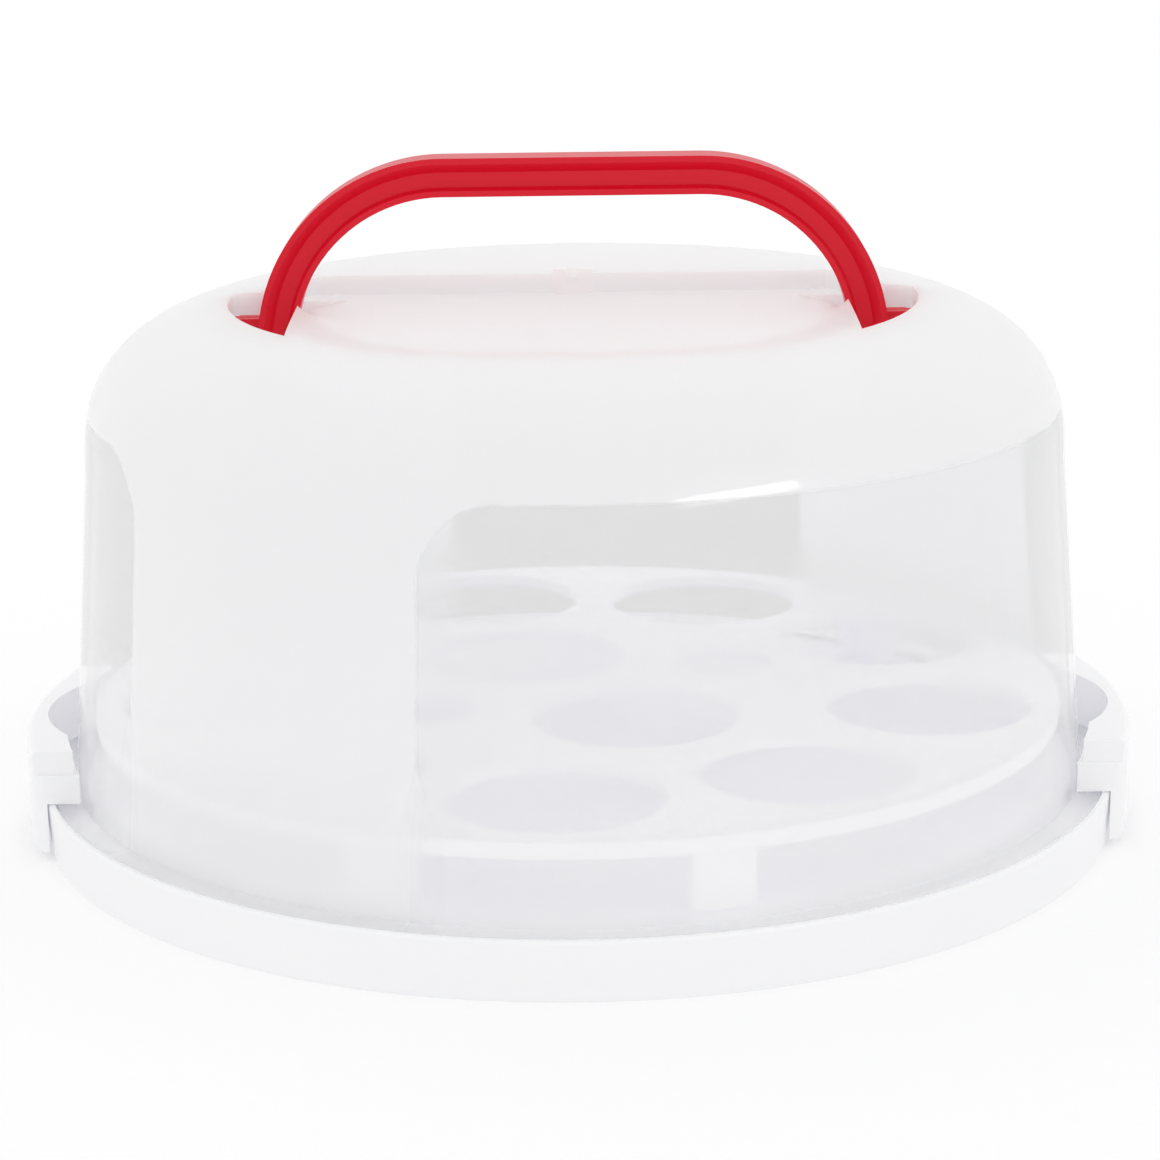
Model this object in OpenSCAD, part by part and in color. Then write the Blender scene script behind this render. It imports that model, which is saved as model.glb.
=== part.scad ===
// Round cake and cupcake carrier: a tray base, a lift-out cupcake insert on six short legs, a
// domed lid with a folding bail handle, and two side latches hinged on the base.
// Millimetres. The origin is the middle of the base on the table, +Z is up, +X points at the
// right-hand latch and +Y at the back, where the handle folds.

/* [Base] */
// Radius of the base over its rim
base_r = 150; // [145:1:160]
// Height of the rim above the table
base_h = 15.8; // [15:0.2:18]
// Wall of the skirt, the groove and the serving plate
base_wall = 2.2; // [1.8:0.1:2.6]
// How far the skirt leans in at its foot
skirt_draft = 1; // [0.4:0.1:1.6]
// Width of the rim's top
rim_w = 1.7; // [1.4:0.1:2]
// Rounding of the rim's outer edge
rim_round = 0.8; // [0.4:0.1:1.2]
// Depth of the lid's groove below the rim
groove_depth = 3.8; // [3.4:0.1:4.4]
// Width of the lid's groove
groove_w = 9.9; // [9.4:0.1:10.8]
// Depth of the serving plate below the rim
plate_drop = 0.8; // [0.4:0.1:1.2]
// Number of ribs under the base
rib_count = 12; // [8:2:16]
// Thickness of the ribs and rings under the base
rib_t = 1.8; // [1.4:0.1:2.4]
// Gap from the ribs to the table
rib_lift = 1.4; // [1:0.1:2]
// Radius of the hub ring under the base
hub_ring_r = 32; // [24:1:40]
// Radius of the foot ring under the base
foot_ring_r = 104; // [90:1:116]
// Width of the foot ring where it stands
foot_ring_w = 3; // [2:0.1:4]

/* [Insert] */
// Thickness of the insert's plate
insert_t = 1.8; // [1.5:0.1:2.4]
// Height of the insert's top above the serving plate
insert_h = 20.3; // [18:0.1:24]
// Height of the insert's turned-down lip
insert_lip = 4.3; // [3.6:0.1:5.5]
// Diameter of a cupcake hole
cup_d = 57; // [52:1:58]
// Number of cupcake holes in the outer ring
cup_count = 9; // [8:1:9]
// Width of the plate outside the outer ring of holes
cup_margin = 7.2; // [5:0.1:9]
// Distance of the two inner cupcake holes from the middle
inner_cup_r = 34; // [32:0.5:36]
// Diameter of a finger hole
finger_d = 28; // [22:1:30]
// Distance of a finger hole from the middle
finger_hole_r = 47; // [44:0.5:49]
// Height of the collar round a hole
collar_h = 3; // [2.4:0.1:4]
// Thickness of a collar and of the lip
collar_t = 1.5; // [1.2:0.1:1.8]
// How far the insert is turned about the upright axis, in degrees
insert_turn = 26.6; // [20:0.1:33]
// Number of pairs of legs
leg_pairs = 3; // [3:1:4]
// Angle from the middle of a pair to each of its legs
leg_angle = 19; // [12:0.5:24]
// Width of a leg
leg_w = 16.5; // [12:0.5:20]
// Thickness of a leg's walls
leg_t = 2; // [1.5:0.1:2.5]
// Depth of a leg's two side walls
leg_depth = 8; // [5:0.5:10]
// Distance of a leg from the insert's edge
leg_inset = 1.9; // [1.6:0.1:3]

/* [Lid] */
// Wall of the lid
lid_wall = 2; // [1.6:0.1:2.4]
// Height of the lid from its lip to its crown
lid_h = 135; // [120:1:150]
// Height of the straight wall above the flange
wall_h = 90; // [80:1:95]
// How far the straight wall leans in over its height
wall_lean = 6.7; // [5:0.1:9]
// Width of the flange outside the wall
flange_w = 6.6; // [6:0.1:7]
// Thickness of the flange
flange_t = 1.8; // [1.4:0.1:2.1]
// Thickness of the flange's turned-down lip
lip_t = 1.5; // [1.2:0.1:2]
// Radius where the shoulder runs out into the flat crown
crown_r = 78.5; // [77:0.5:84]
// Fullness of the shoulder's curve, where 2 is an ellipse
shoulder_power = 2.5; // [2:0.1:3]
// Radius of the sunken middle of the crown
platform_r = 76; // [72:0.5:77]
// Depth of the sunken middle
platform_drop = 5.3; // [4:0.1:6]
// Slope of the sunken middle's edge, as its width
platform_slope = 2.4; // [1:0.1:4]
// Distance from the lid's centre to the straight back of the sunken middle
platform_back = 32.5; // [30:0.5:34]
// Height of the bays for the folded handle's bends above the sunken middle
bay_rise = 0.2; // [0.1:0.1:0.5]
// Radius of the outer wall of the handle's two pockets
pocket_r = 94; // [93:0.5:96]
// Depth of the two pockets below the crown
pocket_depth = 16.2; // [15:0.1:18]
// Depth of the handle's pivot below the crown
pivot_drop = 7.7; // [7:0.1:9]
// Radius of the boss round a pivot hole
boss_r = 4.6; // [4:0.1:5.2]
// Length of the boss behind the pocket's wall
boss_len = 4.5; // [3.5:0.1:6]
// Width of the small catch at the back of the sunken middle
catch_w = 11; // [8:0.5:14]
// Height of the catch's two prongs above the crown
catch_h = 1.6; // [1:0.1:2]
// Thickness of the catch from front to back
catch_t = 3; // [2:0.5:4]
// Depth that the catch is rooted in the wall behind it
catch_root = 0.5; // [0.3:0.1:0.8]
// Width of the notch between the catch's prongs
notch_w = 3.4; // [2:0.2:5]
// Depth of the notch
notch_h = 3; // [2:0.2:4]

/* [Handle] */
// Half the span of the handle over its legs
handle_half = 86.2; // [85.5:0.1:87.5]
// Outer radius of the handle's two bends
handle_r = 51.2; // [46:0.2:54]
// Width of the handle's section, seen from the front
handle_w = 10.4; // [9:0.1:11.5]
// Thickness of the handle from front to back
handle_t = 11.5; // [9:0.1:12]
// Depth of the bends' centres below the pivot
bend_drop = 5.9; // [5.8:0.1:7]
// Width of the rims beside the sunken web
handle_rim = 1.6; // [1.2:0.1:2.2]
// Depth of the web below the rims
web_depth = 2.2; // [1:0.1:3]
// Width of the sloping side of the web's recess on the outside of the bend
web_slope_out = 2.4; // [1:0.1:3]
// Width of the sloping side on the inside of the bend
web_slope_in = 0.8; // [0.4:0.1:1.5]
// Radius of a pivot pin
pin_r = 2.2; // [1.8:0.1:2.6]
// How far a pivot pin reaches into the lid
pin_reach = 2.6; // [2:0.1:3]
// Half height of the arm between a leg and its pin
arm_up = 1.9; // [1.6:0.1:2.6]
// Depth of the arm below the pin
arm_down = 3.4; // [2.4:0.1:4]
// Thickness of the arm from front to back
arm_t = 6.8; // [5:0.1:7.5]
// Depth of the slots along the arm
arm_slot = 1; // [0.6:0.1:1.1]
// Height of the slots along the arm
arm_slot_h = 1.2; // [0.8:0.1:1.6]

/* [Latches] */
// Height of a latch's top above the rim
latch_up = 14.7; // [12:0.1:17]
// Height of a latch's lower edge above the table
latch_foot = 2.3; // [2:0.1:3]
// Thickness of a latch's plate
latch_plate = 3.6; // [3:0.1:4]
// Half the length of a latch
latch_half = 43; // [38:0.5:46]
// Radius of a latch's upright outer corners
latch_corner = 4.5; // [2:0.1:6]
// Thickness of the bow in the middle of the finger gap
latch_bow = 4.6; // [4.2:0.1:5.4]
// Radius of the finger gap, seen from above
finger_gap_r = 42.8; // [36:0.2:44]
// Height of the hooks at a latch's two ends
hook_h = 8; // [6:0.2:10]
// How far the block above a hook is set back
hook_step = 1.2; // [0.6:0.1:1.6]
// Rounding of a latch's top outer edge
latch_round = 2; // [1:0.1:2.4]
// Rounding of a latch's bottom outer edge
latch_foot_round = 2.6; // [1.6:0.1:3]
// Radius of the hinge barrel and of the base's ears
barrel_r = 2; // [1.8:0.1:2.2]
// Half the length of the hinge barrel
barrel_half = 12; // [10:0.1:13]
// Gap from the hinge barrel to the table
hinge_lift = 1.2; // [0.8:0.1:1.6]
// Radius of the hinge pins on the barrel's ends
hinge_pin_r = 1.2; // [1:0.05:1.4]
// Length of a hinge pin
hinge_pin_len = 3; // [2.4:0.1:3.4]
// Width of an ear on the base
ear_w = 4.2; // [4:0.1:5]

/* [Folding] */
// Angle that the handle swings back before its legs rest on the crown
fold_angle = 66; // [64:0.5:68]

/* [Clearances] */
// Gap between pieces that rest on or above each other
seat_gap = 0.3; // [0.3:0.05:0.5]
// Gap between a latch's plate and the rim
latch_gap = 0.4; // [0.35:0.05:0.6]
// Gap between a latch's barrel and the skirt
barrel_gap = 0.4; // [0.35:0.05:0.6]
// Gap round an ear where the latch turns past it
ear_gap = 0.5; // [0.4:0.05:0.7]
// Gap between the lid's flange and the rim
flange_gap = 0.7; // [0.5:0.1:0.9]
// Gap between a latch's hooks and the lid's wall
hook_gap = 0.7; // [0.6:0.1:1]
// Gap between the insert and the lid's wall
insert_gap = 4.3; // [3:0.1:6]
// Radial play of a pin in its hole
pin_play = 0.05; // [0.03:0.01:0.09]
// Play along a hinge, at each end
end_play = 0.3; // [0.3:0.05:0.5]
// Gap between an arm's end and its pocket's wall
arm_gap = 2.4; // [2:0.1:3]
// Gap round the folded handle
fold_gap = 1.8; // [1.2:0.1:2.2]
// Gap under the folded handle
fold_floor = 0.5; // [0.4:0.1:0.8]

/* [Hidden] */
$fn = 96;
cut = 0.5; // how far a cutting shape runs past what it cuts
fine = 180; // facets of a latch's large circles
arc_steps = 4; // steps of a small rounded edge
corner_steps = 6; // steps of a latch's upright corner
shoulder_steps = 28; // steps of the lid's shoulder

// Heights
plate_z = base_h - plate_drop;
groove_z = base_h - groove_depth;
lip_z = groove_z + seat_gap;
flange_z = base_h - seat_gap;
shoulder_z = flange_z + wall_h;
crown_z = lip_z + lid_h;
platform_z = crown_z - platform_drop;
pocket_z = crown_z - pocket_depth;
pivot_z = crown_z - pivot_drop;
slot_z = pivot_z - handle_t / 2 - fold_floor;
insert_z = plate_z + insert_h;
hook_z = base_h + seat_gap;
latch_z = base_h + latch_up;
hinge_z = barrel_r + hinge_lift;

// Radii
groove_out = base_r - rim_w;
groove_in = groove_out - groove_w;
flange_r = groove_out - flange_gap;
wall_r = flange_r - flange_w;
shoulder_r = wall_r - wall_lean;
insert_r = wall_r - lid_wall - insert_gap;
cup_ring_r = insert_r - cup_margin - cup_d / 2;
leg_r = insert_r - leg_inset;
latch_in = base_r + latch_gap;
latch_r = latch_in + latch_plate;
hook_in = wall_r + hook_gap;
finger_x = latch_r - latch_bow - finger_gap_r; // centre of the finger gap
skirt_mid = base_r - skirt_draft - base_wall / 2;
skirt_at_hinge = base_r - skirt_draft * (1 - hinge_z / (base_h - rim_round));
hinge_x = skirt_at_hinge + barrel_gap + barrel_r;
ear_in = barrel_half + end_play;
ear_out = ear_in + ear_w;

// The handle, measured from the lid's middle and from the pivot
bend_x = handle_half - handle_r;
bend_in = handle_r - handle_w;
bend_z = pivot_z - bend_drop;
pocket_x = handle_half - handle_w - fold_gap;
slot_y = fold_clear_y(platform_z + bay_rise);

// How far back the folded handle's legs have risen clear of a floor at height z
function fold_clear_y(z) =
    (z + fold_floor - pivot_z + handle_t / 2 * sin(fold_angle)) * tan(fold_angle)
    + handle_t / 2 * cos(fold_angle);

// Points of an arc from angle a to angle b
function arc(x, y, r, a, b, n) =
    [for (i = [0 : n]) [x + r * cos(a + (b - a) * i / n), y + r * sin(a + (b - a) * i / n)]];

// Points of the shoulder, from the top of the straight wall to the crown, moved in by d
function shoulder(d) =
    [for (i = [0 : shoulder_steps])
        let (t = 90 * i / shoulder_steps, p = 2 / shoulder_power)
        [crown_r + (shoulder_r - d - crown_r) * pow(cos(t), p),
         shoulder_z + (crown_z - d - shoulder_z) * pow(sin(t), p)]];

// ---- Base ----

// Half section of the tray: skirt, rim, groove and serving plate
module base_shell() {
    slope_r = base_r - skirt_draft;
    rotate_extrude()
        polygon(concat(
            [[slope_r, 0]],
            arc(base_r - rim_round, base_h - rim_round, rim_round, 0, 90, arc_steps),
            [[groove_out, base_h], [groove_out, groove_z], [groove_in, groove_z], [groove_in, plate_z],
             [0, plate_z], [0, plate_z - base_wall], [groove_in - base_wall, plate_z - base_wall],
             [groove_in - base_wall, groove_z - base_wall],
             [base_r - skirt_draft / 2 - base_wall, groove_z - base_wall], [slope_r - base_wall, 0]]));
}

// A ring that hangs from the underside of the base
module under_ring(r, w, z) {
    difference() {
        translate([0, 0, z]) cylinder(r = r + w / 2, h = plate_z - base_wall / 2 - z);
        translate([0, 0, z - cut]) cylinder(r = r - w / 2, h = plate_z);
    }
}

// Radial ribs from the hub ring to the skirt, stepped down under the groove
module under_ribs() {
    rib_out = skirt_mid;
    step_r = groove_in - base_wall / 2;
    step_z = groove_z - base_wall / 2;
    top_z = plate_z - base_wall / 2;
    for (i = [0 : rib_count - 1])
        rotate([90, 0, (i + 0.5) * 360 / rib_count])
            linear_extrude(rib_t, center = true)
                polygon([[hub_ring_r, rib_lift], [rib_out, rib_lift], [rib_out, step_z],
                    [step_r, step_z], [step_r, top_z], [hub_ring_r, top_z]]);
}

// One ear that carries a hinge pin, from the skirt out to the hinge
module ear() {
    ear_root = sqrt(skirt_mid * skirt_mid - ear_out * ear_out);
    translate([0, ear_in, 0])
        difference() {
            union() {
                translate([hinge_x, 0, hinge_z]) rotate([-90, 0, 0]) cylinder(r = barrel_r, h = ear_w);
                translate([ear_root, 0, hinge_z - barrel_r])
                    cube([hinge_x - ear_root, ear_w, 2 * barrel_r]);
            }
            translate([hinge_x, -cut, hinge_z])
                rotate([-90, 0, 0])
                    cylinder(r = hinge_pin_r + pin_play, h = hinge_pin_len + cut);
        }
}

module base() {
    color("whitesmoke") {
        base_shell();
        under_ring(hub_ring_r, rib_t, rib_lift);
        under_ring(foot_ring_r, foot_ring_w, 0);
        under_ribs();
        for (side = [0, 180])
            rotate([0, 0, side])
                for (end = [0, 1])
                    mirror([0, end, 0]) ear();
    }
}

// ---- Insert ----

// Places its children at every hole: the outer ring, then the two inner ones
module at_cups() {
    for (i = [0 : cup_count - 1])
        rotate([0, 0, insert_turn + i * 360 / cup_count]) translate([cup_ring_r, 0, 0]) children();
    for (side = [90, 270])
        rotate([0, 0, insert_turn + side]) translate([inner_cup_r, 0, 0]) children();
}

module at_fingers() {
    for (side = [0, 180])
        rotate([0, 0, insert_turn + side]) translate([finger_hole_r, 0, 0]) children();
}

// A leg: a curved panel under the edge with two side walls
module leg() {
    leg_h = insert_h - seat_gap - insert_t / 2;
    translate([0, 0, plate_z + seat_gap])
        intersection() {
            difference() {
                cylinder(r = leg_r, h = leg_h);
                translate([0, 0, -cut]) cylinder(r = leg_r - leg_depth, h = leg_h + 2 * cut);
                translate([0, -leg_w / 2 + leg_t, -cut])
                    cube([leg_r - leg_t, leg_w - 2 * leg_t, leg_h + 2 * cut]);
            }
            translate([0, -leg_w / 2, 0]) cube([leg_r + cut, leg_w, leg_h]);
        }
}

module insert() {
    plate_under = insert_z - insert_t;
    color("white")
        difference() {
            union() {
                translate([0, 0, plate_under]) cylinder(r = insert_r, h = insert_t);
                difference() {
                    translate([0, 0, insert_z - insert_lip]) cylinder(r = insert_r, h = insert_lip);
                    translate([0, 0, insert_z - insert_lip - cut])
                        cylinder(r = insert_r - collar_t, h = insert_lip + 2 * cut);
                }
                at_cups() collar(cup_d);
                at_fingers() collar(finger_d);
                for (i = [0 : leg_pairs - 1])
                    for (side = [-1, 1])
                        rotate([0, 0, insert_turn + i * 360 / leg_pairs + side * leg_angle]) leg();
            }
            at_cups() through(cup_d);
            at_fingers() through(finger_d);
        }
}

module collar(d) {
    translate([0, 0, insert_z - collar_h]) cylinder(d = d + 2 * collar_t, h = collar_h);
}

module through(d) {
    translate([0, 0, plate_z + seat_gap - cut]) cylinder(d = d, h = insert_h + 2 * cut);
}

// ---- Lid ----

// The lid's solid outside, before it is hollowed
module lid_outside() {
    rotate_extrude()
        polygon(concat([[0, lip_z], [flange_r, lip_z], [flange_r, flange_z], [wall_r, flange_z]],
            shoulder(0), [[0, crown_z]]));
}

// The hollow under the crown, with the room between the lip and the wall
module lid_inside() {
    rotate_extrude()
        polygon(concat([[0, lip_z - cut], [flange_r - lip_t, lip_z - cut],
            [flange_r - lip_t, flange_z - flange_t], [wall_r - lid_wall, flange_z - flange_t]],
            shoulder(lid_wall), [[0, crown_z - lid_wall]]));
}

// Room for one bend of the folded handle: a curved bay with its floor at z
module bend_room(z, gap, back) {
    h = crown_z - z + cut;
    translate([0, 0, z])
        intersection() {
            translate([bend_x, -bend_drop, 0])
                difference() {
                    cylinder(r = handle_r + gap, h = h);
                    translate([0, 0, -cut]) cylinder(r = bend_in - gap, h = h + 2 * cut);
                }
            translate([bend_x, 0, 0]) cube([base_r, back, h]);
        }
}

// The sunken middle of the crown with its two bays and a straight back; grow makes its underside
module platform_hollow(grow) {
    z = platform_z - grow;
    low_r = platform_r - platform_slope + grow;
    intersection() {
        union() {
            translate([0, 0, z])
                cylinder(r1 = low_r, r2 = platform_r + grow, h = crown_z - z + cut);
            for (side = [0, 1])
                mirror([side, 0, 0]) bend_room(z + bay_rise, fold_gap + grow, base_r);
        }
        translate([-base_r, -base_r, 0]) cube([2 * base_r, base_r + platform_back + grow, 2 * crown_z]);
    }
}

// One pocket for a leg of the handle: D-shaped in front, and closed just behind the leg
module pocket_hollow(grow) {
    z = pocket_z - grow;
    back = handle_t / 2 + fold_gap + grow;
    intersection() {
        translate([0, 0, z]) cylinder(r = pocket_r + grow, h = crown_z - z + cut);
        translate([pocket_x - grow, -base_r, 0]) cube([base_r, base_r + back, 2 * crown_z]);
    }
}

// Everything that is sunk into the crown; behind each pocket a slot takes the folded leg
module crown_hollows(grow) {
    platform_hollow(grow);
    for (side = [0, 1])
        mirror([side, 0, 0]) {
            pocket_hollow(grow);
            bend_room(slot_z - grow, fold_gap + grow, slot_y + grow);
        }
}

// Boss behind a pocket's wall, round the pivot hole
module boss() {
    translate([pocket_r + lid_wall / 2, 0, pivot_z])
        rotate([0, 90, 0]) cylinder(r = boss_r, h = lid_wall / 2 + boss_len);
}

module pivot_hole() {
    translate([pocket_r - 2 * cut, 0, pivot_z])
        rotate([0, 90, 0]) cylinder(r = pin_r + pin_play, h = pin_reach + end_play + 2 * cut);
}

// Small catch on the sunken middle's back wall, with a notch between two prongs
module catch() {
    z = platform_z - lid_wall / 2;
    difference() {
        translate([-catch_w / 2, platform_back - catch_t, z])
            cube([catch_w, catch_t + catch_root, crown_z + catch_h - z]);
        translate([-notch_w / 2, platform_back - catch_t - cut, crown_z + catch_h - notch_h])
            cube([notch_w, catch_t - catch_root + cut, notch_h + cut]);
    }
}

// The lid's shell with the bosses for the handle's pins, before the crown is sunk
module lid_shell() {
    difference() {
        lid_outside();
        difference() {
            lid_inside();
            crown_hollows(lid_wall);
        }
    }
    boss();
    mirror([1, 0, 0]) boss();
}

module lid() {
    color("gainsboro")
        union() {
            difference() {
                lid_shell();
                crown_hollows(0);
                pivot_hole();
                mirror([1, 0, 0]) pivot_hole();
            }
            catch();
        }
}

// ---- Handle ----

// Section of the handle: x is the distance from the bend's centre, y is front to back
module handle_section() {
    translate([bend_in, -handle_t / 2]) square([handle_w, handle_t]);
}

// Section of the recess on one face, cut back from the rims with sloping sides
module web_section() {
    face = handle_t / 2;
    low = bend_in + handle_rim;
    high = handle_r - handle_rim;
    polygon([[low, face + cut], [low, face], [low + web_slope_in, face - web_depth],
        [high - web_slope_out, face - web_depth], [high, face], [high, face + cut]]);
}

// Sweeps a section round both bends and along the bar
module along_handle() {
    for (side = [0, 1])
        mirror([side, 0, 0])
            translate([bend_x, 0, bend_z])
                rotate([90, 0, 0]) rotate_extrude(angle = 90) children();
    translate([-bend_x, 0, bend_z])
        rotate([0, -90, 180]) linear_extrude(2 * bend_x) children();
}

// Arm from a leg to its pin, with a slot along each face
module arm() {
    root_x = handle_half - handle_rim;
    slot_z = pivot_z + (arm_up - arm_down - arm_slot_h) / 2;
    difference() {
        union() {
            translate([root_x, -arm_t / 2, pivot_z - arm_down])
                cube([pocket_r - arm_gap - root_x, arm_t, arm_up + arm_down]);
            translate([root_x, 0, pivot_z])
                rotate([0, 90, 0]) cylinder(r = pin_r, h = pocket_r + pin_reach - root_x);
        }
        for (face = [0, 1])
            mirror([0, face, 0])
                translate([root_x, arm_t / 2 - arm_slot, slot_z])
                    cube([pocket_r - root_x, arm_slot + cut, arm_slot_h]);
    }
}

// What is trimmed off the legs' feet so that they turn inside the pockets
module foot_trim() {
    difference() {
        translate([-base_r, -handle_t, pivot_z - handle_r])
            cube([2 * base_r, 2 * handle_t, handle_r]);
        translate([-base_r - cut, 0, pivot_z])
            rotate([0, 90, 0]) cylinder(r = handle_t / 2, h = 2 * base_r + 2 * cut);
    }
}

module handle() {
    color("crimson")
        difference() {
            union() {
                along_handle() handle_section();
                arm();
                mirror([1, 0, 0]) arm();
            }
            along_handle() web_section();
            along_handle() mirror([0, 1]) web_section();
            foot_trim();
        }
}

// ---- Latches ----

// What rounds one upright outer corner of a latch, seen from above
module corner_cut() {
    c = latch_corner;
    cy = latch_half - c;
    cx = sqrt(pow(latch_r - c, 2) - cy * cy);
    turn = atan2(cy, cx);
    far = 2 * c;
    polygon(concat(arc(cx, cy, c, turn, 90, corner_steps),
        [[cx, cy + far], [cx + far, cy + far], [cx + far, cy + far * tan(turn)]]));
}

// Outline of a latch, seen from above
module latch_outline() {
    difference() {
        intersection() {
            circle(r = latch_r, $fn = fine);
            translate([0, -latch_half]) square([2 * latch_r, 2 * latch_half]);
        }
        circle(r = hook_in, $fn = fine);
        corner_cut();
        mirror([0, 1]) corner_cut();
    }
}

// Rounds the top and bottom outer edges of a latch
module edge_rounds() {
    top = latch_z - latch_round;
    foot = latch_foot + latch_foot_round;
    rotate_extrude($fn = fine)
        polygon(concat([[latch_r + cut, latch_z + cut], [latch_r + cut, top]],
            arc(latch_r - latch_round, top, latch_round, 0, 90, arc_steps),
            [[latch_r - latch_round, latch_z + cut]]));
    rotate_extrude($fn = fine)
        polygon(concat([[latch_r - latch_foot_round, latch_foot - cut]],
            arc(latch_r - latch_foot_round, foot, latch_foot_round, -90, 0, arc_steps),
            [[latch_r + cut, foot], [latch_r + cut, latch_foot - cut]]));
}

// Room for the base's ear as the latch turns
module ear_room() {
    room_w = ear_w + 2 * end_play;
    translate([hinge_x, barrel_half, hinge_z])
        rotate([-90, 0, 0]) cylinder(r = barrel_r + ear_gap, h = room_w);
    translate([hook_in, barrel_half, 0])
        cube([latch_r + cut - hook_in, room_w, hinge_z + barrel_r + seat_gap]);
}

// The latch on the +X side
module latch() {
    upper_z = hook_z + hook_h;
    difference() {
        translate([0, 0, latch_foot]) linear_extrude(latch_z - latch_foot) latch_outline();
        translate([0, 0, -cut]) cylinder(r = latch_in, h = hook_z + cut, $fn = fine);
        translate([finger_x, 0, hook_z - cut]) cylinder(r = finger_gap_r, h = latch_z);
        translate([0, 0, upper_z]) cylinder(r = hook_in + hook_step, h = latch_z, $fn = fine);
        for (end = [0, 1])
            mirror([0, end, 0])
                translate([0, latch_half - hook_step, upper_z]) cube([2 * latch_r, latch_half, latch_z]);
        edge_rounds();
        ear_room();
        mirror([0, 1, 0]) ear_room();
    }
    barrel();
}

// Hinge barrel under the latch with a pin on each end
module barrel() {
    pin_half = barrel_half + hinge_pin_len;
    translate([hinge_x, 0, hinge_z])
        rotate([90, 0, 0]) {
            cylinder(r = barrel_r, h = 2 * barrel_half, center = true);
            cylinder(r = hinge_pin_r, h = 2 * pin_half, center = true);
        }
}

module latch_right() {
    color("white") latch();
}

module latch_left() {
    color("white") rotate([0, 0, 180]) latch();
}

base();
insert();
lid();
handle();
latch_left();
latch_right();
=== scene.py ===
"""A round cake and cupcake carrier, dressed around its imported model.

A white tray base, a cupcake insert on short legs, a frosted lid with clear windows, a red bail handle and two
side latches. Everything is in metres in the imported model's frame: the origin is on the table under the middle of
the base, +Z is up and the photographed front faces -Y.
"""

import logging
import math
from dataclasses import dataclass, field
from enum import Enum

import bpy
from mathutils import Euler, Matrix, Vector

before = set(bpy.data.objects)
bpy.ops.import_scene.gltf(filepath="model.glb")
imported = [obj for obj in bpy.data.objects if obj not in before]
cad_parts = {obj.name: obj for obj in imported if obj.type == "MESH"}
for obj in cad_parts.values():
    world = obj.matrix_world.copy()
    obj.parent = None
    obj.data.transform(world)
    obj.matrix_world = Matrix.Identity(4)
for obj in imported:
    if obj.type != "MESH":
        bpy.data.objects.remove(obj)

LOG = logging.getLogger("cake_carrier")

MM = 0.001
PLASTIC_IOR = 1.49
BUMP_STRENGTH = 0.5

Colour = tuple[float, float, float]

WHITE: Colour = (0.968, 0.968, 0.981)
INSERT_WHITE: Colour = (0.985, 0.985, 0.995)
LID_WHITE: Colour = (0.98, 0.98, 0.985)
HANDLE_RED: Colour = (0.71, 0.003, 0.021)


class Body(Enum):
    """The six mouldings of the carrier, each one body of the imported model."""

    BASE = "base"
    INSERT = "insert"
    LID = "lid"
    HANDLE = "handle"
    LATCH_LEFT = "latch_left"
    LATCH_RIGHT = "latch_right"


class Graph:
    """A node tree that is built by short calls.

    Args:
        tree: The shader node tree to fill.
    """

    def __init__(self, tree: bpy.types.NodeTree) -> None:
        """Keeps the tree and empties it."""
        self.tree = tree
        self.tree.nodes.clear()

    def node(self, kind: str, settings: dict | None = None, **inputs: object) -> bpy.types.Node:
        """Adds a node.

        Args:
            kind: The node's type name.
            settings: Properties to set on the node.
            inputs: Values or output sockets for the inputs. An input is named with _ for a space, or with i and
                its number.

        Returns:
            The new node.
        """
        made = self.tree.nodes.new(kind)
        for name, value in (settings or {}).items():
            setattr(made, name, value)
        for name, value in inputs.items():
            numbered = name.startswith("i") and name[1:].isdigit()
            self.feed(made, int(name[1:]) if numbered else name.replace("_", " "), value)
        return made

    def feed(self, made: bpy.types.Node, socket: int | str, value: object) -> None:
        """Links a socket to an input, or sets the input's own value.

        Args:
            made: The node whose input is fed.
            socket: The input's name or number.
            value: An output socket or a plain value.
        """
        if isinstance(value, bpy.types.NodeSocket):
            self.tree.links.new(value, made.inputs[socket])
        else:
            made.inputs[socket].default_value = value

    def math(self, operation: str, *values: object, clamp: bool = False) -> bpy.types.NodeSocket:
        """Adds a Math node.

        Args:
            operation: The node's operation.
            values: Its inputs in order, as values or sockets.
            clamp: Whether the result is held between 0 and 1.

        Returns:
            The result's socket.
        """
        made = self.node("ShaderNodeMath", {"operation": operation, "use_clamp": clamp})
        for index, value in enumerate(values):
            self.feed(made, index, value)
        return made.outputs[0]

    def noise(self, place: object, scale: object, detail: float) -> bpy.types.NodeSocket:
        """Adds a 3D noise texture and returns its value."""
        made = self.node("ShaderNodeTexNoise", Vector=place, Scale=scale, Detail=detail)
        return made.outputs["Fac"]

    def scaled(self, vector: object, scale: object) -> bpy.types.NodeSocket:
        """Scales a colour or vector by a value and returns the result."""
        made = self.node("ShaderNodeVectorMath", {"operation": "SCALE"}, i0=vector, Scale=scale)
        return made.outputs[0]

    def blend(self, share: object, low: object, high: object) -> bpy.types.NodeSocket:
        """Mixes two values by a share from 0 to 1 and returns the result."""
        made = self.node("ShaderNodeMapRange", Value=share)
        self.feed(made, "To Min", low)
        self.feed(made, "To Max", high)
        return made.outputs[0]

    def rise(self, value: object, start: float, end: float) -> bpy.types.NodeSocket:
        """Turns a value into a share that rises smoothly from 0 at start to 1 at end, and returns it."""
        made = self.node("ShaderNodeMapRange", {"interpolation_type": "SMOOTHSTEP"}, Value=value,
                         From_Min=start, From_Max=end)
        return made.outputs[0]


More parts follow.
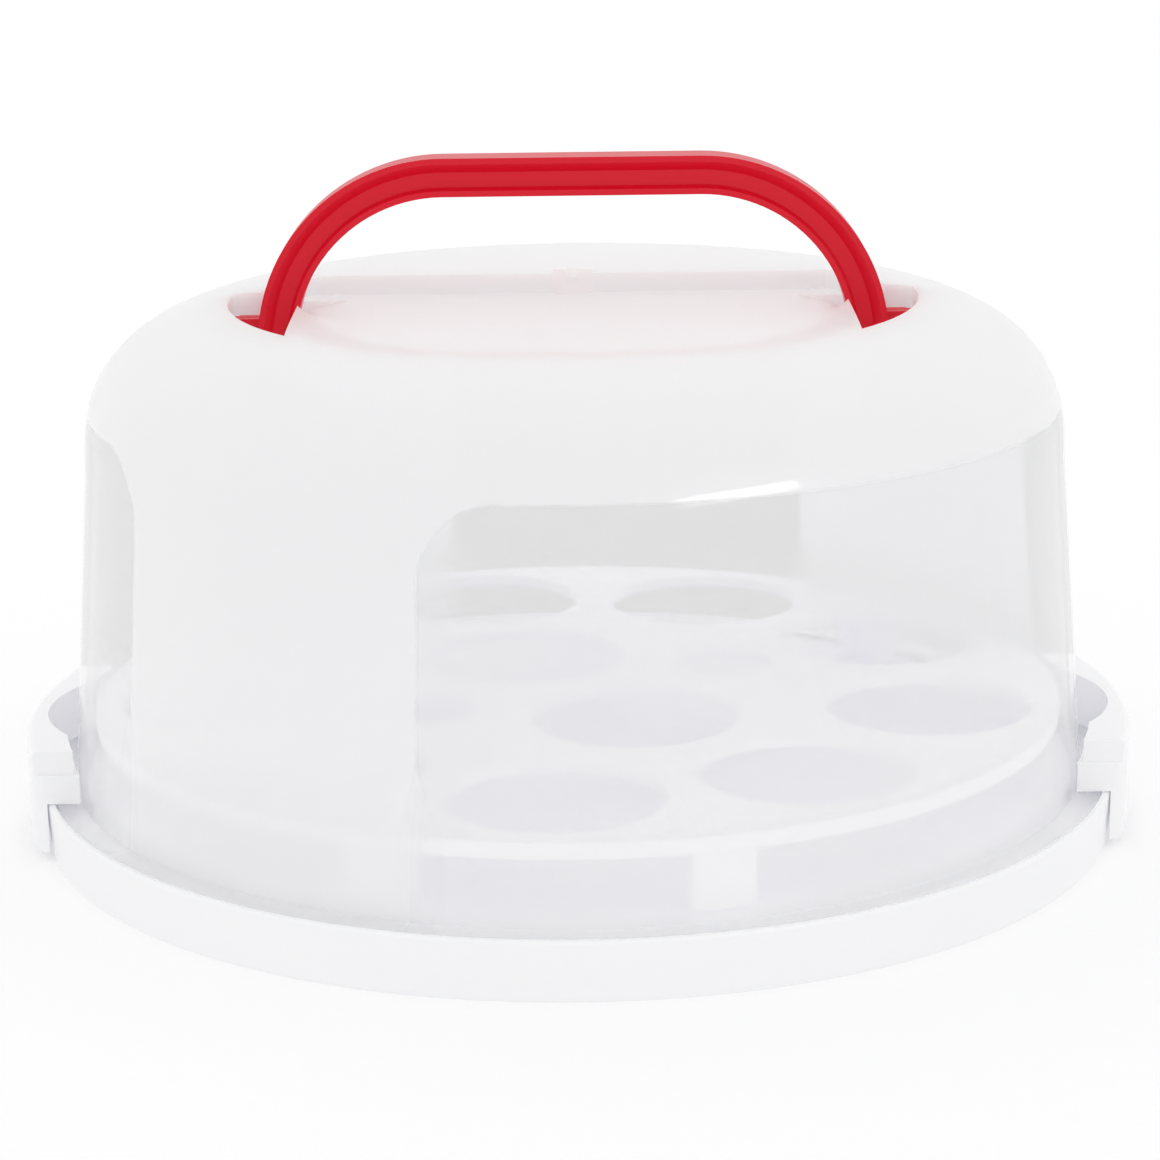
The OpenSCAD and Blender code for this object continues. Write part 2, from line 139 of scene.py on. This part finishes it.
def shader_group(name: str, inputs: dict[str, float], outputs: list[str]) -> tuple[bpy.types.NodeTree, Graph]:
    """Starts a shader node group with float sockets.

    Args:
        name: The group's name.
        inputs: Each input's name and its default.
        outputs: The outputs' names.

    Returns:
        The group's tree and its graph.
    """
    tree = bpy.data.node_groups.new(name, "ShaderNodeTree")
    graph = Graph(tree)
    for socket, default in inputs.items():
        made = tree.interface.new_socket(socket, in_out="INPUT", socket_type="NodeSocketFloat")
        made.default_value = default
    for socket in outputs:
        tree.interface.new_socket(socket, in_out="OUTPUT", socket_type="NodeSocketFloat")
    return tree, graph


def new_material(name: str) -> tuple[bpy.types.Material, Graph]:
    """Starts a material with an empty node tree.

    Args:
        name: The material's name.

    Returns:
        The material and its graph.
    """
    made = bpy.data.materials.new(name)
    made.use_nodes = True
    return made, Graph(made.node_tree)


class MouldedSurface:
    """Group: what a moulded plastic face shows close up, as flow marks, rub marks and fine pits.

    Each scale is a noise's cells per metre, and each detail its number of finer layers. The pits' scale is for a
    Pit Size of 1.
    """

    NAME = "moulded_surface"
    FLOW_SCALE = 9.0
    FLOW_DETAIL = 2.0
    FLOW_HEIGHT = 0.4
    RUB_SCALE = 60.0
    RUB_DETAIL = 5.0
    PIT_SCALE = 200.0
    PIT_DETAIL = 2.0
    NOISE_MIDDLE = 0.5

    @classmethod
    def group(cls) -> bpy.types.NodeTree:
        """Builds the group once and returns it. It puts out a shade factor, a roughness and a bump height."""
        if cls.NAME in bpy.data.node_groups:
            return bpy.data.node_groups[cls.NAME]
        tree, g = shader_group(cls.NAME, {"Shade": 0.03, "Roughness": 0.3, "Roughness Spread": 0.1, "Pit Size": 0.4},
                               ["Shade", "Roughness", "Height"])
        given = g.node("NodeGroupInput").outputs
        place = g.node("ShaderNodeTexCoord").outputs["Object"]
        flow = g.noise(place, cls.FLOW_SCALE, cls.FLOW_DETAIL)
        rubs = g.noise(place, cls.RUB_SCALE, cls.RUB_DETAIL)
        pits = g.noise(place, g.math("DIVIDE", cls.PIT_SCALE, given["Pit Size"]), cls.PIT_DETAIL)
        swing = g.math("MULTIPLY", g.math("SUBTRACT", flow, cls.NOISE_MIDDLE), given["Shade"])
        rough = g.math("MULTIPLY", g.math("SUBTRACT", rubs, cls.NOISE_MIDDLE), given["Roughness Spread"])
        out = g.node("NodeGroupOutput")
        g.feed(out, "Shade", g.math("ADD", 1.0, swing))
        g.feed(out, "Roughness", g.math("ADD", given["Roughness"], rough, clamp=True))
        g.feed(out, "Height", g.math("ADD", pits, g.math("MULTIPLY", flow, cls.FLOW_HEIGHT)))
        return tree


@dataclass(frozen=True)
class Window:
    """One clear window in the lid's frosted wall, from one azimuth to another, in degrees."""

    start: float
    end: float

    @property
    def middle(self) -> float:
        """The azimuth of the window's middle, in radians."""
        return math.radians((self.start + self.end) / 2)

    @property
    def half(self) -> float:
        """Half the window's angle, in radians."""
        return math.radians((self.end - self.start) / 2)


@dataclass(frozen=True)
class WindowBand:
    """Group: where the lid's wall is clear, where it nears the base, and where its crown is.

    The windows stand round the wall, rounded at the top, and run on down to the flange. There their edges, sharp
    higher up, are low_blur times as wide. The low zone and the crown each grow in between two heights.
    """

    NAME = "window_mask"

    windows: tuple[Window, ...] = (Window(-106.5, 14.3), Window(58.5, 107.0), Window(161.0, 213.5))
    bottom: float = -30 * MM
    top: float = 118.7 * MM
    corner: float = 20 * MM
    wall_r: float = 136 * MM
    edge: float = 0.5 * MM
    low: tuple[float, float] = (58 * MM, 30 * MM)
    low_blur: float = 14.0
    crown: tuple[float, float] = (124 * MM, 138 * MM)

    def distance(self, g: Graph, azimuth: object, height: object, window: Window) -> bpy.types.NodeSocket:
        """Works out the distance to one window's outline, under 0 inside it.

        Args:
            g: The group's graph.
            azimuth: Socket with the azimuth in radians.
            height: Socket with the height.
            window: The window.

        Returns:
            The distance's socket.
        """
        turned = g.math("WRAP", g.math("SUBTRACT", azimuth, window.middle), math.pi, -math.pi)
        along = g.math("MULTIPLY", g.math("ABSOLUTE", turned), self.wall_r)
        across = g.math("SUBTRACT", along, window.half * self.wall_r - self.corner)
        half_height = (self.top - self.bottom) / 2
        level = g.math("ABSOLUTE", g.math("SUBTRACT", height, (self.top + self.bottom) / 2))
        up = g.math("SUBTRACT", level, half_height - self.corner)
        outside = g.math("SQRT", g.math("ADD", g.math("POWER", g.math("MAXIMUM", across, 0.0), 2.0),
                                        g.math("POWER", g.math("MAXIMUM", up, 0.0), 2.0)))
        inside = g.math("MINIMUM", g.math("MAXIMUM", across, up), 0.0)
        return g.math("SUBTRACT", g.math("ADD", outside, inside), self.corner)

    def group(self) -> bpy.types.NodeTree:
        """Builds the group once and returns it. It puts out three masks: clear, low and crown."""
        if self.NAME in bpy.data.node_groups:
            return bpy.data.node_groups[self.NAME]
        tree, g = shader_group(self.NAME, {"Edge": self.edge}, ["Clear", "Low", "Crown"])
        given = g.node("NodeGroupInput").outputs
        place = g.node("ShaderNodeTexCoord").outputs["Object"]
        axes = g.node("ShaderNodeSeparateXYZ", Vector=place).outputs
        azimuth = g.math("ARCTAN2", axes["Y"], axes["X"])
        nearest = None
        for window in self.windows:
            far = self.distance(g, azimuth, axes["Z"], window)
            nearest = far if nearest is None else g.math("MINIMUM", nearest, far)
        low = g.rise(axes["Z"], *self.low)
        blur = g.math("MULTIPLY", given["Edge"], g.blend(low, 1.0, self.low_blur))
        out = g.node("NodeGroupOutput")
        g.feed(out, "Clear", g.rise(g.math("DIVIDE", nearest, blur), 1.0, -1.0))
        g.feed(out, "Low", low)
        g.feed(out, "Crown", g.rise(axes["Z"], *self.crown))
        return tree


@dataclass(frozen=True)
class Plastic:
    """A moulded plastic. Its painted glow is a faint emission standing in for light through its thin white walls."""

    name: str
    colour: Colour
    roughness: float
    spread: float = 0.08
    shade: float = 0.03
    pit_size: float = 0.4
    pit_depth: float = 0.006 * MM
    specular: float = 0.5
    # painted light: a faint glow in the plastic's own colour, though it is no lamp
    painted_glow: float = 0.0

    def material(self) -> bpy.types.Material:
        """Builds the material and returns it."""
        made, g = new_material(self.name)
        look = g.node("ShaderNodeGroup", {"node_tree": MouldedSurface.group()}, Shade=self.shade,
                      Roughness=self.roughness, Roughness_Spread=self.spread, Pit_Size=self.pit_size).outputs
        bump = g.node("ShaderNodeBump", Strength=BUMP_STRENGTH, Distance=self.pit_depth, Height=look["Height"])
        # The emission below is the painted glow, painted light rather than a lamp.
        shader = g.node("ShaderNodeBsdfPrincipled", Base_Color=g.scaled(self.colour, look["Shade"]),
                        Roughness=look["Roughness"], Normal=bump.outputs[0], IOR=PLASTIC_IOR,
                        Specular_IOR_Level=self.specular, Emission_Color=(*self.colour, 1.0),
                        Emission_Strength=self.painted_glow)
        g.node("ShaderNodeOutputMaterial", Surface=shader.outputs[0])
        return made


@dataclass(frozen=True)
class LidPlastic:
    """Translucent plastic, frosted but for its polished windows.

    Each cover is the share of the surface that hides what is behind it, seen straight on. Towards a glancing view
    it grows to the whole, as the gloss does. A face that is seen from within the plastic shows nothing.
    """

    name: str = "lid_plastic"
    colour: Colour = LID_WHITE
    frosted: float = 0.4
    spread: float = 0.06
    shade: float = 0.02
    pit_size: float = 0.5
    polished: float = 0.05
    frosted_cover: float = 0.93
    low_cover: float = 0.55
    clear_cover: float = 0.2
    gloss: float = 0.7
    crown_gloss: float = 0.15
    gloss_roughness: float = 0.05
    scatter: float = 13.0 * MM
    step: float = 0.15 * MM
    band: WindowBand = field(default_factory=WindowBand)

    def material(self) -> bpy.types.Material:
        """Builds the material and returns it."""
        made, g = new_material(self.name)
        zones = g.node("ShaderNodeGroup", {"node_tree": self.band.group()}, Edge=self.band.edge).outputs
        look = g.node("ShaderNodeGroup", {"node_tree": MouldedSurface.group()}, Shade=self.shade,
                      Roughness=self.frosted, Roughness_Spread=self.spread, Pit_Size=self.pit_size).outputs
        frosted = g.blend(zones["Low"], self.frosted_cover, self.low_cover)
        sheer = g.blend(zones["Clear"], frosted, self.clear_cover)
        glance = g.node("ShaderNodeFresnel", IOR=PLASTIC_IOR).outputs[0]
        outer = g.math("SUBTRACT", 1.0, g.node("ShaderNodeNewGeometry").outputs["Backfacing"])
        bump = g.node("ShaderNodeBump", Strength=BUMP_STRENGTH, Distance=self.step, Height=zones["Clear"])
        shader = g.node("ShaderNodeBsdfPrincipled", Base_Color=g.scaled(self.colour, look["Shade"]),
                        Roughness=g.blend(zones["Clear"], look["Roughness"], self.polished),
                        Normal=bump.outputs[0], IOR=PLASTIC_IOR,
                        Alpha=g.math("MULTIPLY", g.blend(glance, sheer, 1.0), outer),
                        Subsurface_Weight=1.0, Subsurface_Radius=(1.0, 1.0, 1.0), Subsurface_Scale=self.scatter,
                        Coat_Weight=g.blend(zones["Crown"], self.gloss, self.crown_gloss),
                        Coat_Roughness=self.gloss_roughness)
        g.node("ShaderNodeOutputMaterial", Surface=shader.outputs[0])
        return made


@dataclass(frozen=True)
class Moulding:
    """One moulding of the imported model, with its edges softened and its plastic. Its angles are in degrees."""

    body: Body
    finish: Plastic | LidPlastic
    edge_round: float = 0.5 * MM
    edge_angle: float = 38.0
    segments: int = 3
    weld_gap: float = 0.002 * MM
    flat_angle: float = 0.3

    def dress(self) -> None:
        """Rounds the moulding's edges and gives it its plastic."""
        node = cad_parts[self.body.value]
        node.data.materials.clear()
        node.data.materials.append(self.finish.material())
        weld = node.modifiers.new("weld", "WELD")
        weld.merge_threshold = self.weld_gap
        flat = node.modifiers.new("flat", "DECIMATE")
        flat.decimate_type = "DISSOLVE"
        flat.angle_limit = math.radians(self.flat_angle)
        bevel = node.modifiers.new("edges", "BEVEL")
        bevel.width = self.edge_round
        bevel.segments = self.segments
        bevel.limit_method = "ANGLE"
        bevel.angle_limit = math.radians(self.edge_angle)
        normals = node.modifiers.new("normals", "WEIGHTED_NORMAL")
        normals.keep_sharp = False
        LOG.info("dressed %s", self.body.value)


@dataclass(frozen=True)
class StudioCamera:
    """The photograph's view. Its angles are in degrees, and its focal length is in pixels of the frame."""

    place: tuple[float, float, float] = (0.001, -0.86138, 0.29099)
    pitch: float = 14.648
    roll: float = -0.7117
    focal_px: float = 3177.7
    frame_px: float = 1160.0
    sensor_mm: float = 36.0
    near: float = 10 * MM

    def build(self) -> None:
        """Adds the camera and makes it the scene's camera."""
        data = bpy.data.cameras.new("camera")
        data.sensor_width = self.sensor_mm
        data.sensor_fit = "HORIZONTAL"
        data.lens = self.focal_px / self.frame_px * self.sensor_mm
        data.clip_start = self.near
        camera = bpy.data.objects.new("camera", data)
        camera.location = self.place
        tilt = Euler((math.radians(90 - self.pitch), 0, 0)).to_matrix()
        camera.rotation_euler = (tilt @ Euler((0, 0, math.radians(self.roll))).to_matrix()).to_euler()
        bpy.context.scene.collection.objects.link(camera)
        bpy.context.scene.camera = camera


@dataclass(frozen=True)
class SoftBox:
    """A rectangular studio lamp that faces the carrier and shows in its gloss alone. It is turned in degrees."""

    name: str
    place: tuple[float, float, float]
    aim: tuple[float, float, float]
    size: tuple[float, float]
    watts: float
    turn: float

    def build(self) -> None:
        """Adds the lamp."""
        data = bpy.data.lights.new(self.name, "AREA")
        data.shape = "RECTANGLE"
        data.size, data.size_y = self.size
        data.energy = self.watts
        lamp = bpy.data.objects.new(self.name, data)
        lamp.location = self.place
        facing = (Vector(self.aim) - Vector(self.place)).to_track_quat("-Z", "Y").to_matrix()
        lamp.rotation_euler = (facing @ Euler((0, 0, math.radians(self.turn))).to_matrix()).to_euler()
        lamp.visible_diffuse = False
        bpy.context.scene.collection.objects.link(lamp)


@dataclass(frozen=True)
class Studio:
    """A white table in soft even light, with a white background.

    The table has a tone, a little lift where it is looked at, and painted shade where it is seen through the lid.
    The light bounces often enough to fill the closed carrier.
    """

    table_half: float = 4.0
    table_tone: float = 0.94
    table_roughness: float = 0.9
    table_lift: float = 0.1
    # painted shade: the share of the table's tone that is kept where it is seen through the lid
    painted_shade_through_lid: float = 0.76
    surround: float = 0.96
    bounces: int = 32
    lamp: SoftBox = SoftBox("front_box", place=(1.51, -2.04, 0.776), aim=(0.04, -0.127, 0.12), size=(1.3, 0.31),
                            watts=8.0, turn=11.0)

    def seen(self, g: Graph) -> bpy.types.NodeSocket:
        """Adds the share, 1 or 0, of rays that look at the background: camera, glossy and transmission rays."""
        path = g.node("ShaderNodeLightPath").outputs
        looks = g.math("MAXIMUM", path["Is Camera Ray"], path["Is Glossy Ray"])
        return g.math("MAXIMUM", looks, path["Is Transmission Ray"])

    def world(self) -> None:
        """Lights the scene evenly, and shows white behind it."""
        world = bpy.data.worlds.new("surround")
        bpy.context.scene.world = world
        world.use_nodes = True
        g = Graph(world.node_tree)
        strength = g.blend(self.seen(g), self.surround, 1.0)
        back = g.node("ShaderNodeBackground", Color=(1.0, 1.0, 1.0, 1.0), Strength=strength)
        g.node("ShaderNodeOutputWorld", Surface=back.outputs[0])

    def table(self) -> None:
        """Adds the white table, which keeps the carrier's shadow."""
        mesh = bpy.data.meshes.new("table")
        h = self.table_half
        mesh.from_pydata([(-h, -h, 0), (h, -h, 0), (h, h, 0), (-h, h, 0)], [], [(0, 1, 2, 3)])
        table = bpy.data.objects.new("table", mesh)
        bpy.context.scene.collection.objects.link(table)
        made, g = new_material("table_white")
        path = g.node("ShaderNodeLightPath").outputs
        # Painted shade: where the camera looks through the lid, the table's tone drops and its lift is left off.
        behind = g.math("MULTIPLY", path["Is Camera Ray"], g.math("MINIMUM", path["Transparent Depth"], 1.0))
        lift = g.math("MULTIPLY", g.math("SUBTRACT", self.seen(g), behind), self.table_lift)
        tone = g.blend(behind, self.table_tone, self.painted_shade_through_lid * self.table_tone)
        shader = g.node("ShaderNodeBsdfPrincipled", Base_Color=tone, Roughness=self.table_roughness,
                        Specular_IOR_Level=0.0, Emission_Color=(1.0, 1.0, 1.0, 1.0), Emission_Strength=lift)
        g.node("ShaderNodeOutputMaterial", Surface=shader.outputs[0])
        mesh.materials.append(made)

    def build(self) -> None:
        """Adds the background, the table and the lamp, with a plain view transform."""
        scene = bpy.context.scene
        scene.view_settings.view_transform = "Standard"
        scene.cycles.diffuse_bounces = self.bounces
        scene.cycles.max_bounces = self.bounces
        scene.cycles.transparent_max_bounces = self.bounces
        self.world()
        self.table()
        self.lamp.build()


def carrier() -> list[Moulding]:
    """Returns the carrier's six mouldings in order, each with its plastic."""
    # The glow values below are painted light: emission that brightens the white parts and the inside of the carrier.
    latch = Plastic("latch_plastic", WHITE, roughness=0.22, spread=0.05, painted_glow=0.015)
    return [
        Moulding(Body.BASE, Plastic("base_plastic", WHITE, roughness=0.34, painted_glow=0.015)),
        Moulding(Body.INSERT, Plastic("insert_plastic", INSERT_WHITE, roughness=0.4, painted_glow=0.035), 0.8 * MM),
        Moulding(Body.LID, LidPlastic(), 0.8 * MM),
        Moulding(Body.HANDLE, Plastic("handle_plastic", HANDLE_RED, roughness=0.34, specular=0.3), 0.4 * MM),
        Moulding(Body.LATCH_LEFT, latch, 0.6 * MM),
        Moulding(Body.LATCH_RIGHT, latch, 0.6 * MM),
    ]


def main() -> None:
    """Dresses the carrier in the photograph's view and studio."""
    logging.basicConfig(level=logging.INFO)
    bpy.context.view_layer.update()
    StudioCamera().build()
    for moulding in carrier():
        moulding.dress()
    Studio().build()


if __name__ == "__main__":
    main()
